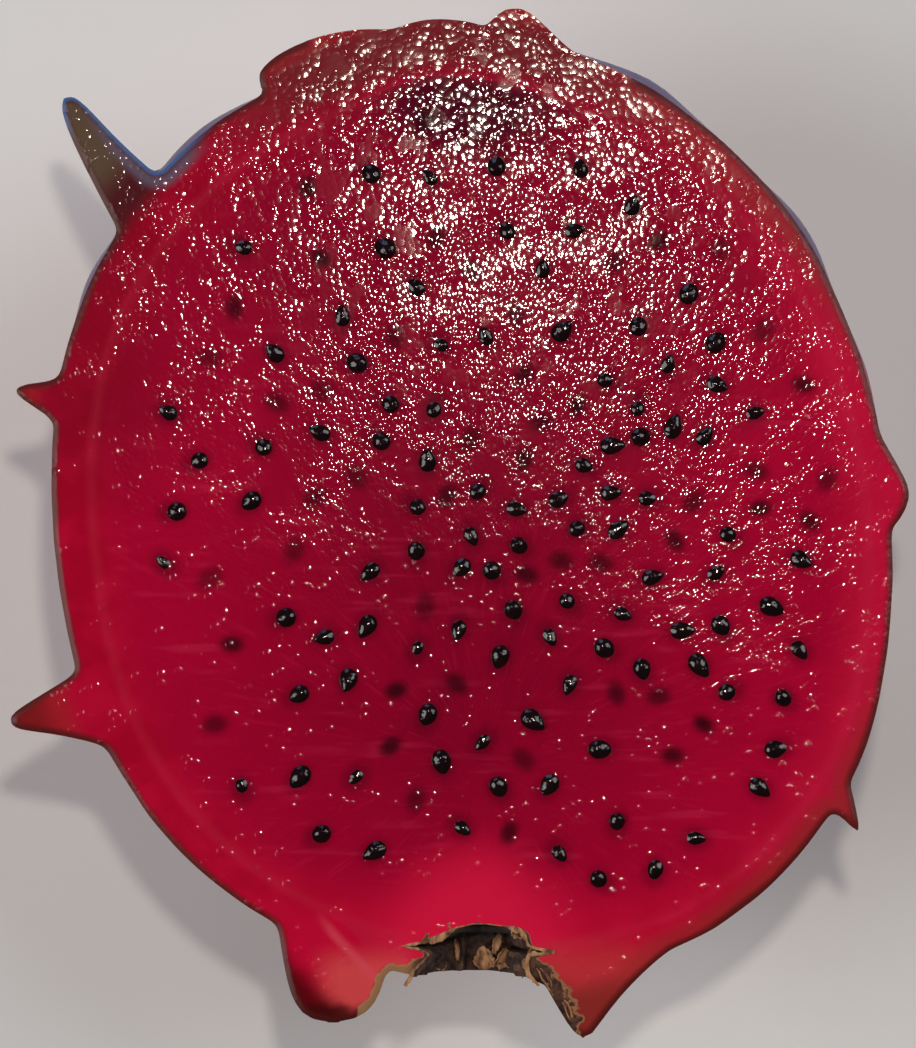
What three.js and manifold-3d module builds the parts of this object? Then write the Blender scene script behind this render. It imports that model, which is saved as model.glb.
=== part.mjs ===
// Half of a red dragon fruit, cut lengthwise and lying on its skin with the cut face up.
// Millimetres. +Z is up, +Y points to the stem end, and the fruit's own axis lies in the cut face.
// The origin is under the middle of the fruit, on the surface that it lies on.

import * as THREE from "three";
import { mergeVertices } from "three/addons/utils/BufferGeometryUtils.js";
import Module from "manifold-3d";

const wasm = await Module();
wasm.setup();

// Driving dimensions
const CUT_HEIGHT = 40; // the cut face above the table
const SKIN_DEPTH = 41.3; // the skin below the cut face, before the fruit's weight presses it flat
const RIND_UNDERNEATH = 3.6;
const RIND = { right: 2.3, top: 5.0, left: 3.9, bottom: 3.4 }; // the rind's thickness in the cut
const GAP = 0.3; // between pieces that touch

// The skin's outline in the cut, clockwise from the stem end, as x and y
const SKIN_OUTLINE = [
  [-0.8, 49.8],
  [18.3, 44.0],
  [33.6, 30.4],
  [41.4, 12.4],
  [43.4, -6.7],
  [39.3, -25.7],
  [24.6, -41.0],
  [1.3, -45.9],
  [-21.3, -38.2],
  [-35.1, -22.7],
  [-40.6, 0.4],
  [-38.2, 20.6],
  [-27.8, 37.0],
  [-11.2, 47.0],
];

// The blossom end: the tissue that carried the flower, and the pit that the flower left in it
const PIT_X = 2.0;
const COLLAR = { x: 1.1, innerY: -36, innerRadius: 16.0, rimY: -43.4, rimRadius: 9.4 };
const PIT = { floorY: -40.4, floorRadius: 3.7, waistY: -42.4, waistRadius: 5.5, rimY: -45.4, rimRadius: 6.0 };
const LINING = 0.8; // the dried flower's thickness
const LINING_RIBS = 7;
const RIB_HEIGHT = 0.7;

// Scales that the knife went through. base, bend and tip are points of the midrib in the cut.
const CUT_SCALES = [
  { base: [-29.0, 28.9], bend: [-35.6, 36.2], tip: [-39.4, 43.0], thick: [8.5, 2.9], width: 9, cup: 30 },
  { base: [-37.4, 12.0], bend: [-41.0, 12.6], tip: [-44.4, 13.5], thick: [7.5, 1.6], width: 8, cup: 30 },
  { base: [-32.8, -17.6], bend: [-40.0, -18.6], tip: [-45.0, -19.9], thick: [11.6, 2.4], width: 10, cup: 30 },
  { base: [-11.4, -35.6], bend: [-12.6, -44.0], tip: [-12.2, -50.0], thick: [15.0, 8.8], width: 10, cup: 18 },
  { base: [14.2, -37.6], bend: [12.4, -45.0], tip: [12.6, -51.6], thick: [22.0, 3.0], width: 10, cup: 9, taper: 1.35 },
  { base: [35.6, -25.2], bend: [38.5, -27.0], tip: [40.1, -31.0], thick: [7.5, 0.9], width: 7, cup: 30 },
  { base: [40.6, 2.6], bend: [43.6, 2.2], tip: [44.9, 1.6], thick: [15.0, 4.0], width: 8, cup: 30 },
  { base: [6.6, 43.0], bend: [6.0, 48.0], tip: [4.9, 51.6], thick: [17.0, 4.6], width: 9, cup: 30 },
  { base: [-2.8, 45.6], bend: [-10.4, 49.4], tip: [-20.2, 44.0], thick: [5.6, 4.0], width: 9, cup: 30 },
];

// The other scales follow the spiral in which they grew
const SPIRAL_TURN = 135; // degrees from one scale to the next
const SPIRAL_STEP = 3.4; // along the axis from one scale to the next
const SPIRAL_START_Y = 34;
const SPIRAL_FIRST = -5;
const SPIRAL_LAST = 22;
const SCALE = { length: 18, out: 7.5, thick: [5.6, 1.5], width: 10.5, cup: 26 };
const KEEL = { height: 1.3, width: 5, length: 17 }; // the ridge that runs into each scale from the stem end

// Seeds that show in the cut face
const SEED_SIZE = [2.0, 2.6, 1.5];
const SEED_INSET = { right: 3.4, left: 6.2, top: 3.6, bottom: 4.6 }; // from the pulp's edge
const SEEDS_OFF_PIT = 11;
const CROWD = { x: 11, y: -1, spacing: 1.9, growth: 0.06 }; // where seeds lie closest, and how they thin out
const BARE = { spacing: 1.6, width: 5, height: 4 }; // the emptier spots between clusters, and their size
const SEED_TRIES = 3000;
const SEED_SHOWN = 0.7; // the share of the seeds that the knife uncovered
const SEED_DRAW = 5150;

const UP = new THREE.Vector3(0, 0, 1);

// Repeatable random numbers from 0 to 1
function drawer(start) {
  let state = start;
  return () => {
    state = (state * 16807) % 2147483647;
    return state / 2147483647;
  };
}

// The solid inside a closed geometry
function solid(geometry) {
  const bare = geometry.clone();
  bare.deleteAttribute("normal");
  bare.deleteAttribute("uv");
  const merged = mergeVertices(bare, 1e-4);
  const vertProperties = new Float32Array(merged.getAttribute("position").array);
  const triVerts = new Uint32Array(merged.index.array);
  return new wasm.Manifold(new wasm.Mesh({ numProp: 3, vertProperties, triVerts }));
}

// The geometry of a solid, with flat faces
function geometryOf(body) {
  const mesh = body.getMesh();
  const geometry = new THREE.BufferGeometry();
  geometry.setAttribute("position", new THREE.BufferAttribute(mesh.vertProperties, 3));
  geometry.setIndex(new THREE.BufferAttribute(mesh.triVerts, 1));
  const flat = geometry.toNonIndexed();
  flat.computeVertexNormals();
  return flat;
}

// A block with its middle at x, y and z
function block(size, x, y, z) {
  return solid(new THREE.BoxGeometry(...size).translate(x, y, z));
}

// Distance from the middle of the cut face to a closed outline, as a function of the angle
function outlineRadius(points) {
  const curve = new THREE.CatmullRomCurve3(
    points.map(([x, y]) => new THREE.Vector3(x, y, 0)),
    true,
    "centripetal",
  );
  const marks = curve
    .getPoints(720)
    .slice(1)
    .map((p) => [Math.atan2(p.y, p.x), Math.hypot(p.x, p.y)])
    .sort((a, b) => a[0] - b[0]);
  const [first, last] = [marks[0], marks[marks.length - 1]];
  const ring = [[last[0] - 2 * Math.PI, last[1]], ...marks, [first[0] + 2 * Math.PI, first[1]]];
  return (angle) => {
    const after = ring.findIndex((mark) => mark[0] >= angle);
    const [a, b] = [ring[Math.max(after - 1, 0)], ring[Math.max(after, 1)]];
    return THREE.MathUtils.mapLinear(angle, a[0], b[0], a[1], b[1]);
  };
}

const skinRadius = outlineRadius(SKIN_OUTLINE);

// A margin that differs at the right, the top, the left and the bottom, at an angle from +X
function margin(sides, angle) {
  const [c, s] = [Math.cos(angle), Math.sin(angle)];
  return c * c * (c > 0 ? sides.right : sides.left) + s * s * (s > 0 ? sides.top : sides.bottom);
}

const pulpRadius = (angle) => skinRadius(angle) - margin(RIND, angle);

// Distance from the middle of the cut face to the fruit's surface, along a direction
function reach(direction, radiusAt, depth) {
  const level = Math.hypot(direction.x, direction.y);
  const across = level / radiusAt(Math.atan2(direction.y, direction.x));
  return 1 / Math.hypot(across, direction.z / depth);
}

// A direction from the middle: tilt from the stem end, and roll about the fruit's axis from the left edge
function towards(tilt, roll) {
  return new THREE.Vector3(-Math.sin(tilt) * Math.cos(roll), Math.cos(tilt), -Math.sin(tilt) * Math.sin(roll));
}

function skinPoint(tilt, roll) {
  const direction = towards(tilt, roll);
  return direction.multiplyScalar(reach(direction, skinRadius, SKIN_DEPTH));
}

// Where each scale of the spiral grows, below the cut face
function spiralPlaces() {
  const places = [];
  for (let k = SPIRAL_FIRST; k <= SPIRAL_LAST; k++) {
    const turn = THREE.MathUtils.euclideanModulo(SPIRAL_TURN * k, 360);
    const y = SPIRAL_START_Y - SPIRAL_STEP * k;
    const tilt = Math.acos(THREE.MathUtils.clamp(y / 47, -0.97, 0.97));
    if (turn > 0 && turn < 180) {
      places.push({ k, tilt, roll: THREE.MathUtils.degToRad(turn) });
    }
  }
  return places;
}

const places = spiralPlaces();

// The height of the ridges that run down the skin into the scales
function keels(direction) {
  const tilt = Math.acos(THREE.MathUtils.clamp(direction.y, -1, 1));
  const roll = Math.atan2(-direction.z, -direction.x);
  let height = 0;
  for (const place of places) {
    const behind = (place.tilt - tilt) * SKIN_DEPTH;
    const aside = (roll - place.roll) * Math.sin(tilt) * SKIN_DEPTH;
    const along = THREE.MathUtils.smoothstep(behind, -6, 1) * (1 - THREE.MathUtils.smoothstep(behind, 2, KEEL.length));
    height += KEEL.height * along * Math.exp(-((aside / KEEL.width) ** 2));
  }
  return height;
}

// A whole fruit, or a whole core of pulp, before it is cut
function ovoid(radiusAt, depth, around, along, relief = () => 0, grow = 0) {
  const geometry = new THREE.SphereGeometry(1, around, along);
  const place = geometry.getAttribute("position");
  const direction = new THREE.Vector3();
  for (let i = 0; i < place.count; i++) {
    direction.fromBufferAttribute(place, i).normalize();
    const distance = reach(direction, radiusAt, depth) + relief(direction) + grow;
    direction.multiplyScalar(distance);
    place.setXYZ(i, direction.x, direction.y, direction.z);
  }
  return solid(geometry);
}

// One leafy scale about a midrib of three points: thick at the base, and curved round the fruit by cup
function scaleBlade(midrib, side, outward, { thick, width, cup, taper = 1.6 }) {
  const rib = new THREE.QuadraticBezierCurve3(...midrib);
  const geometry = new THREE.SphereGeometry(1, 12, 9);
  const place = geometry.getAttribute("position");
  const [rootThick, tipThick] = thick;
  for (let i = 0; i < place.count; i++) {
    const [x, y, z] = [place.getX(i), place.getY(i), place.getZ(i)];
    const s = Math.acos(THREE.MathUtils.clamp(y, -1, 1)) / Math.PI;
    const ring = Math.hypot(x, z) || 1;
    const closing = Math.sqrt(1 - s ** 8) * Math.min(1, s * 9);
    const halfWidth = width * Math.sin(Math.PI * s ** 0.45) ** 0.8 * Math.min(1, s * 9);
    const halfThick = 0.5 * closing * (tipThick + (rootThick - tipThick) * (1 - s) ** taper);
    const across = (halfWidth * x) / ring;
    const up = (halfThick * z) / ring;
    const tangent = rib.getTangent(s);
    const normal = new THREE.Vector3().crossVectors(tangent, side);
    const point = rib
      .getPoint(s)
      .addScaledVector(side, across)
      .addScaledVector(normal, up)
      .addScaledVector(outward, -(across * across) / (2 * cup));
    place.setXYZ(i, point.x, point.y, point.z);
  }
  return solid(geometry);
}

// A scale that the knife went through: its midrib lies in the cut
function cutScale(spec) {
  const midrib = [spec.base, spec.bend, spec.tip].map(([x, y]) => new THREE.Vector3(x, y, 0));
  const outward = new THREE.Vector3(spec.base[0], spec.base[1], 0).normalize();
  const forward = midrib[2].clone().sub(midrib[0]);
  const turnsLeft = forward.x * outward.y - forward.y * outward.x > 0;
  const side = UP.clone().multiplyScalar(turnsLeft ? -1 : 1);
  return scaleBlade(midrib, side, outward, spec);
}

// A scale of the spiral, which leaves the skin towards the blossom end and turns outwards at its tip
function spiralScale({ k, tilt, roll }) {
  const root = skinPoint(tilt, roll);
  const forward = skinPoint(tilt + 0.05, roll).sub(root).normalize();
  const around = skinPoint(tilt, roll + 0.05).sub(root);
  const outward = new THREE.Vector3().crossVectors(around, forward).normalize();
  const side = new THREE.Vector3().crossVectors(outward, forward);
  const underneath = outward.z < -0.93;
  const atBlossom = tilt > 2.5;
  const size = 0.9 + 0.1 * Math.cos(2.4 * k);
  const along = (atBlossom ? 0.25 : 1) * SCALE.length * size;
  const out = (underneath ? 0.1 : 1) * (atBlossom ? 0.45 : 1) * SCALE.out * size;
  const from = (a, b) => root.clone().addScaledVector(forward, a).addScaledVector(outward, b);
  const drop = (along * along) / (2 * SKIN_DEPTH);
  const midrib = [from(-5, -2.2), from(0.55 * along, 0.6), from(along, out - drop)];
  return scaleBlade(midrib, side, outward, SCALE);
}

// The knife takes away everything above the cut face, and the table presses the lowest skin flat
const SPARE = 300;
const aboveCut = block([SPARE, SPARE, SPARE], 0, 0, SPARE / 2);
const belowTable = block([SPARE, SPARE, SPARE], 0, 0, -CUT_HEIGHT - SPARE / 2);

// The tissue round the blossom pit, as a cone about the fruit's axis
function collar(grow) {
  const height = COLLAR.innerY - COLLAR.rimY + grow;
  const geometry = new THREE.CylinderGeometry(COLLAR.innerRadius + grow, COLLAR.rimRadius + grow, height, 36);
  return solid(geometry.translate(COLLAR.x, COLLAR.innerY - height / 2, 0));
}

// The hollow that the flower left, open towards -Y
function blossomPit() {
  const profile = [
    [0, PIT.rimY - 15],
    [PIT.rimRadius + 1, PIT.rimY - 15],
    [PIT.rimRadius + 1, PIT.rimY - 4],
    [PIT.rimRadius, PIT.rimY],
    [PIT.waistRadius, PIT.waistY],
    [PIT.floorRadius, PIT.floorY],
    [0, PIT.floorY],
  ];
  return solid(latheOf(profile, 32).translate(PIT_X, 0, 0));
}

function latheOf(profile, segments) {
  return new THREE.LatheGeometry(
    profile.map(([radius, y]) => new THREE.Vector2(radius, y)),
    segments,
  );
}

// The brown papery remnant of the flower, a ribbed cup that lines the pit
function driedFlower() {
  const outer = [
    [0, PIT.floorY - GAP],
    [PIT.floorRadius - GAP, PIT.floorY - GAP],
    [PIT.waistRadius - GAP, PIT.waistY],
    [PIT.rimRadius - GAP, PIT.rimY + 0.6],
  ];
  const inner = outer.map(([radius, y]) => [Math.max(radius - LINING, 0), y - 0.6]).reverse();
  const geometry = latheOf([...outer, ...inner].reverse(), 70);
  const place = geometry.getAttribute("position");
  for (let i = 0; i < place.count; i++) {
    const [x, y, z] = [place.getX(i), place.getY(i), place.getZ(i)];
    const radius = Math.hypot(x, z);
    const isInner = inner.some((p) => Math.abs(p[0] - radius) < 1e-4 && Math.abs(p[1] - y) < 1e-4);
    if (isInner && radius > 1) {
      const rib = RIB_HEIGHT * Math.max(0, Math.cos(LINING_RIBS * Math.atan2(z, x) + 1)) ** 4;
      place.setXYZ(i, x * (1 - rib / radius), y, z * (1 - rib / radius));
    }
  }
  return solid(geometry.translate(PIT_X, 0, 0)).subtract(aboveCut);
}

// Whether a seed may lie at x and y
function inSeedBed(x, y) {
  const angle = Math.atan2(y, x);
  const inset = pulpRadius(angle) - Math.hypot(x, y);
  return inset > margin(SEED_INSET, angle) && Math.hypot(x - PIT_X, y - PIT.waistY) > SEEDS_OFF_PIT;
}

// Places of the seeds: darts thrown at the cut face, kept where they are clear of their neighbours
function seedPlaces() {
  const random = drawer(SEED_DRAW);
  const seeds = [];
  for (let i = 0; i < SEED_TRIES; i++) {
    const x = 50 * (2 * random() - 1);
    const y = 50 * (2 * random() - 1);
    const turn = random();
    const size = 0.86 + 0.26 * random();
    const shown = random() < SEED_SHOWN;
    const sink = 0.1 + 0.3 * random();
    const bare = 0.5 - 0.5 * Math.sin(x / BARE.width + 1) * Math.sin(y / BARE.height + 2);
    const off = Math.hypot(x - CROWD.x, y - CROWD.y);
    const spacing = CROWD.spacing + CROWD.growth * off + BARE.spacing * bare;
    if (inSeedBed(x, y) && seeds.every((s) => Math.hypot(s.x - x, s.y - y) > spacing)) {
      seeds.push({ x, y, turn, size, shown, sink });
    }
  }
  return seeds;
}

// A seed points roughly to the fruit's middle and stands a little proud of the cut
function seedBody({ x, y, turn, size, sink }) {
  const geometry = new THREE.IcosahedronGeometry(0.5, 0);
  geometry.scale(...SEED_SIZE.map((side) => side * size));
  geometry.rotateZ(Math.atan2(y, x) - Math.PI / 2 + 2 * (turn - 0.5));
  return solid(geometry.translate(x, y, -sink));
}

// The pieces
const pit = blossomPit();
const skin = ovoid(skinRadius, SKIN_DEPTH, 64, 52, keels);
const blades = [...CUT_SCALES.map(cutScale), ...places.map(spiralScale)];
const pulpDepth = SKIN_DEPTH - RIND_UNDERNEATH;
const hollow = ovoid(pulpRadius, pulpDepth, 40, 32, undefined, GAP).add(collar(GAP)).add(pit);
const peelBody = blades
  .reduce((whole, blade) => whole.add(blade), skin)
  .subtract(hollow)
  .subtract(aboveCut)
  .subtract(belowTable);

const seeds = seedPlaces();
const shownSeeds = seeds.filter((seed) => seed.shown).map(seedBody);
const pulpCore = ovoid(pulpRadius, pulpDepth, 40, 32).add(collar(0)).subtract(pit).subtract(aboveCut);
const pulpBody = shownSeeds.reduce((whole, seed) => whole.add(seed), pulpCore);

function piece(name, body, colour, roughness) {
  const material = new THREE.MeshStandardMaterial({ color: colour, roughness, metalness: 0 });
  const mesh = new THREE.Mesh(geometryOf(body), material);
  mesh.name = name;
  mesh.position.z = CUT_HEIGHT;
  return mesh;
}

const fruit = new THREE.Group();
fruit.name = "half_dragon_fruit";
fruit.add(piece("peel", peelBody, 0xb02a46, 0.5));
fruit.add(piece("pulp", pulpBody, 0x99062d, 0.25));
fruit.add(piece("dried_flower", driedFlower(), 0x4b2721, 0.9));

export default fruit;
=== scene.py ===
# Half of a red dragon fruit, cut lengthwise and lying on its scaly skin with the wet cut face up.
# Metres, +Z up, +Y to the stem end, and the origin on the table under the fruit's middle.

import math

import bmesh
import bpy
import numpy as np
from mathutils import Euler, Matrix, Vector, kdtree, noise


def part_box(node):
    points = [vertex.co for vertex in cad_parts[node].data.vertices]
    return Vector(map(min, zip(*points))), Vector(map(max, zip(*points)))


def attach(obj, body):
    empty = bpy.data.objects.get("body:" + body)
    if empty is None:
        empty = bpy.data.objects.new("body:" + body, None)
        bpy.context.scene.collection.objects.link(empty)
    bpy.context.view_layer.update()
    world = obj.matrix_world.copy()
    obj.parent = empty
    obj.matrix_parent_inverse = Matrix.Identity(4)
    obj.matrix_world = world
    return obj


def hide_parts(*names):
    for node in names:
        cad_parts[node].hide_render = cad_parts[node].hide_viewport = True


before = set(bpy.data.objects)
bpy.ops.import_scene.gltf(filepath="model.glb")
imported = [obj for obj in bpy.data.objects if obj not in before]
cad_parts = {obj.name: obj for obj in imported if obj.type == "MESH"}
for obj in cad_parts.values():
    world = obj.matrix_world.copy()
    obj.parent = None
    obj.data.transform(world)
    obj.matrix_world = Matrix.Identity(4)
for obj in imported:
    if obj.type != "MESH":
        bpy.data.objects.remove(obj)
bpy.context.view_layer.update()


# The fruit's form.
# A dragon fruit is nearly round about its own axis, which lies in the cut face along Y. The skin's outline
# in the cut gives its width all the way round, and the pulp follows it inside a rind of uneven thickness.
MM = 0.001
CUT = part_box("peel")[1].z
SKIN_DEPTH = 41.3 * MM
RIND_UNDERNEATH = 3.6 * MM
RIND = {"right": 2.3, "top": 5.0, "left": 3.9, "bottom": 3.4}
SKIN_OUTLINE = [
    (-0.8, 49.8),
    (18.3, 44.0),
    (33.6, 30.4),
    (41.4, 12.4),
    (43.4, -6.7),
    (39.3, -25.7),
    (24.6, -41.0),
    (1.3, -45.9),
    (-21.3, -38.2),
    (-35.1, -22.7),
    (-40.6, 0.4),
    (-38.2, 20.6),
    (-27.8, 37.0),
    (-11.2, 47.0),
]


def ring_through(corners, steps=50):
    """Distance from the middle to a smooth closed curve through the corners, as a function of the angle."""
    here = np.array(corners) * MM
    before, after, beyond = (np.roll(here, k, 0) for k in (1, -1, -2))
    a, b, c = (np.linalg.norm(q - p, axis=1)[:, None] ** 0.5
               for p, q in ((before, here), (here, after), (after, beyond)))
    leave = b * ((here - before) / a - (after - before) / (a + b)) + after - here
    arrive = b * ((beyond - after) / c - (beyond - here) / (b + c)) + after - here
    t = np.linspace(0, 1, steps, endpoint=False)[:, None, None]
    x, y = (
        (2 * t**3 - 3 * t**2 + 1) * here
        + (t**3 - 2 * t**2 + t) * leave
        + (3 * t**2 - 2 * t**3) * after
        + (t**3 - t**2) * arrive
    ).reshape(-1, 2).T
    order = np.argsort(np.arctan2(y, x))
    angles, distances = np.arctan2(y, x)[order], np.hypot(x, y)[order]
    return lambda angle: np.interp(angle, angles, distances, period=2 * math.pi)


def margin(sides, angle):
    """A width in metres that differs at the right, the top, the left and the bottom of the cut face."""
    c, s = np.cos(angle), np.sin(angle)
    level = np.where(c > 0, sides["right"], sides["left"])
    upright = np.where(s > 0, sides["top"], sides["bottom"])
    return MM * (c * c * level + s * s * upright)


skin_radius = ring_through(SKIN_OUTLINE)


def pulp_radius(angle):
    return skin_radius(angle) - margin(RIND, angle)


def reach(way, radius_at, depth):
    """Distance from the middle of the cut face to the fruit's surface along each way."""
    x, y, z = way.T
    return 1 / np.hypot(np.hypot(x, y) / radius_at(np.arctan2(y, x)), z / depth)


def ball_grid(rings, around):
    """Points of a unit ball with its poles on the Y axis, and its faces, which point outwards."""
    tilt = np.linspace(0, math.pi, rings + 1)[1:-1, None]
    roll = np.linspace(0, 2 * math.pi, around, endpoint=False)[None, :]
    x, z = np.sin(tilt) * np.cos(roll), np.sin(tilt) * np.sin(roll)
    y = np.cos(tilt) + 0 * roll
    points = np.vstack([np.stack([x, y, z], -1).reshape(-1, 3), [(0, 1, 0), (0, -1, 0)]])
    top, bottom = len(points) - 2, len(points) - 1
    faces = []
    for i in range(around):
        j = (i + 1) % around
        for row in range(rings - 2):
            start = row * around
            faces.append((start + i, start + j, start + around + j, start + around + i))
        last = (rings - 2) * around
        faces += [(top, j, i), (bottom, last + i, last + j)]
    return points, faces


scene = bpy.context.scene


def make_mesh(name, points, faces):
    mesh = bpy.data.meshes.new(name)
    mesh.from_pydata(points.tolist(), [], faces)
    made = bpy.data.objects.new(name, mesh)
    scene.collection.objects.link(made)
    return made


def ovoid(name, radius_at, depth, rings, around, relief=None):
    """The whole fruit, or its whole core of pulp, before it is cut."""
    way, faces = ball_grid(rings, around)
    distance = reach(way, radius_at, depth)
    if relief is not None:
        distance = distance + relief(way)
    return make_mesh(name, way * distance[:, None] + (0, 0, CUT), faces)


def settle(piece):
    """Turns what a piece's modifiers make of it into its plain mesh."""
    shaped = piece.evaluated_get(bpy.context.evaluated_depsgraph_get())
    mesh = bpy.data.meshes.new_from_object(shaped)
    piece.modifiers.clear()
    piece.data = mesh
    return piece


def cut_away(piece, *tools):
    for tool in tools:
        change = piece.modifiers.new("cut", "BOOLEAN")
        change.operation, change.solver, change.object = "DIFFERENCE", "MANIFOLD", tool
    return settle(piece)


def join_on(piece, *others):
    for other in others:
        change = piece.modifiers.new("join", "BOOLEAN")
        change.operation, change.solver, change.object = "UNION", "MANIFOLD", other
    return settle(piece)


def points_of(piece):
    """The piece's points, measured from the middle of the cut face."""
    flat = np.empty(len(piece.data.vertices) * 3)
    piece.data.vertices.foreach_get("co", flat)
    return flat.reshape(-1, 3) - (0, 0, CUT)


def move_points(piece, points):
    piece.data.vertices.foreach_set("co", (points + (0, 0, CUT)).ravel())
    piece.data.update()


def note(piece, name, values):
    """Keeps a number for each point of a piece, for its material to read."""
    layer = piece.data.attributes.new(name, "FLOAT", "POINT")
    layer.data.foreach_set("value", np.asarray(values, dtype=np.float32))


def shade_smooth(piece, crease=35):
    """Smooth faces, with creases where they meet more sharply than that many degrees."""
    piece.data.polygons.foreach_set("use_smooth", np.ones(len(piece.data.polygons), dtype=bool))
    piece.data.set_sharp_from_angle(angle=math.radians(crease))


def ripple(points, size, offset=0.0):
    """Smooth unevenness from about -1 to 1, with bumps of a size in metres."""
    return np.array([noise.noise(Vector(p)) for p in points / size + offset])


def smoothstep(low, high, value):
    t = np.clip((value - low) / (high - low), 0, 1)
    return t * t * (3 - 2 * t)


# The seeds' places.
# Small black seeds lie all through the pulp, closest near its middle. The knife uncovers most of those
# that it meets, and the rest show as dark smudges just under the surface.
PIT_X = 2.0 * MM
PIT_WAIST_Y = -42.4 * MM
SEED_INSET = {"right": 3.4, "left": 6.2, "top": 3.6, "bottom": 4.6}
SEEDS_OFF_PIT = 11 * MM
CROWD = {"x": 11 * MM, "y": -1 * MM, "spacing": 1.9 * MM, "growth": 0.06}
BARE = {"spacing": 1.6 * MM, "width": 5 * MM, "height": 4 * MM}
SEED_TRIES = 3000
SEED_SHOWN = 0.7
SEED_DRAW = 5150


def drawer(start):
    """Repeatable numbers from 0 to 1."""
    state = start
    while True:
        state = state * 16807 % 2147483647
        yield state / 2147483647


def in_seed_bed(x, y):
    angle = math.atan2(y, x)
    inset = pulp_radius(angle) - math.hypot(x, y)
    return inset > margin(SEED_INSET, angle) and math.hypot(x - PIT_X, y - PIT_WAIST_Y) > SEEDS_OFF_PIT


def seed_places():
    """Darts thrown at the cut face, kept where they are clear of their neighbours."""
    draw = drawer(SEED_DRAW)
    seeds = []
    for _ in range(SEED_TRIES):
        x, y = 50 * MM * (2 * next(draw) - 1), 50 * MM * (2 * next(draw) - 1)
        turn = next(draw)
        size = 0.86 + 0.26 * next(draw)
        shown = next(draw) < SEED_SHOWN
        sink = (0.1 + 0.3 * next(draw)) * MM
        bare = 0.5 - 0.5 * math.sin(x / BARE["width"] + 1) * math.sin(y / BARE["height"] + 2)
        off = math.hypot(x - CROWD["x"], y - CROWD["y"])
        spacing = CROWD["spacing"] + CROWD["growth"] * off + BARE["spacing"] * bare
        if in_seed_bed(x, y) and all(math.hypot(s["x"] - x, s["y"] - y) > spacing for s in seeds):
            heading = math.atan2(y, x) - math.pi / 2 + 2 * (turn - 0.5)
            seeds.append({"x": x, "y": y, "turn": heading, "size": size, "shown": shown, "sink": sink})
    return seeds


seeds = seed_places()
shown_seeds = [seed for seed in seeds if seed["shown"]]
sunk_seeds = [seed for seed in seeds if not seed["shown"]]


# The cut.
# One stroke of a kitchen knife, which leaves the pulp's cells standing in fine radial rows and the face
# itself a little wavy.
CUT_GRID = 0.4 * MM
CUT_HALF = (50 * MM, 57 * MM)


def cut_relief(x, y):
    """Height of the cut face over its mean plane."""
    return 0.07 * MM * ripple(np.stack([x, y, 0 * x], -1), 20 * MM, 3.1)


def knife_block():
    """Everything above the cut face."""
    half_x, half_y = CUT_HALF
    nx, ny = round(2 * half_x / CUT_GRID), round(2 * half_y / CUT_GRID)
    sides = np.linspace(-half_x, half_x, nx + 1), np.linspace(-half_y, half_y, ny + 1)
    x, y = (side.ravel() for side in np.meshgrid(*sides, indexing="ij"))
    points = np.stack([x, y, CUT + cut_relief(x, y)], -1)
    index = np.arange((nx + 1) * (ny + 1)).reshape(nx + 1, ny + 1)
    low, right, high, left = index[:-1, :-1], index[1:, :-1], index[1:, 1:], index[:-1, 1:]
    faces = np.stack([low, left, high, right], -1).reshape(-1, 4).tolist()
    rim = [*index[:-1, 0], *index[-1, :-1], *index[:0:-1, -1], *index[0, :0:-1]]
    lid = points[rim] * (1, 1, 0) + (0, 0, CUT + 60 * MM)
    start = len(points)
    for i in range(len(rim)):
        j = (i + 1) % len(rim)
        faces.append((int(rim[i]), int(rim[j]), start + j, start + i))
    faces.append(tuple(range(start, start + len(rim))))
    return make_mesh("knife", np.vstack([points, lid]), faces)


knife = knife_block()


# The blossom pit.
# The flower grew at this end, and its foot dried out and left a ragged hollow in the tissue that carried
# it. The hollow's sides are given along the axis, from its floor outwards, as they run in the cut face.
COLLAR = {"x": 1.1, "inner_y": -36, "inner_radius": 16.0, "rim_y": -43.4, "rim_radius": 9.4}
PIT_Y = [-40.0, -40.5, -41.0, -41.9, -42.2, -42.5, -42.8, -43.1, -43.8, -44.8, -46.4, -49.4, -60.0]
PIT_RIGHT = [0.0, 4.1, 4.6, 4.9, 5.1, 5.9, 7.8, 5.2, 4.9, 5.0, 6.2, 7.6, 7.6]
PIT_LEFT = [0.0, 2.2, 3.4, 5.6, 7.3, 5.8, 5.2, 4.9, 5.4, 6.6, 7.4, 7.6, 7.6]
PIT_BELOW = [0.0, 3.4, 4.2, 5.0, 5.2, 5.4, 5.5, 5.6, 5.7, 5.9, 6.4, 7.2, 7.6]


def pit_radius(y, roll):
    """Distance from the pit's axis to its wall, at a place along the axis and a roll about it."""
    sides = (PIT_RIGHT, PIT_LEFT, PIT_BELOW)
    right, left, below = (np.interp(-y / MM, [-v for v in PIT_Y], side) for side in sides)
    level = np.cos(roll)
    side = np.where(level > 0, right, left)
    tatter = 0.22 * ripple(np.stack([np.cos(roll) * 5, y / MM * 1.5, np.sin(roll) * 5], -1), 2.4)
    return MM * np.maximum(0, below + (side - below) * level**2 + tatter * (side > 0.5))


def woven(rows, across, closed=False):
    """The faces between rows of points. Closed rows run round and meet themselves."""
    faces = []
    for row in range(rows - 1):
        start = row * across
        for i in range(across if closed else across - 1):
            j = (i + 1) % across
            faces.append((start + i, start + j, start + across + j, start + across + i))
    return faces


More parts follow.
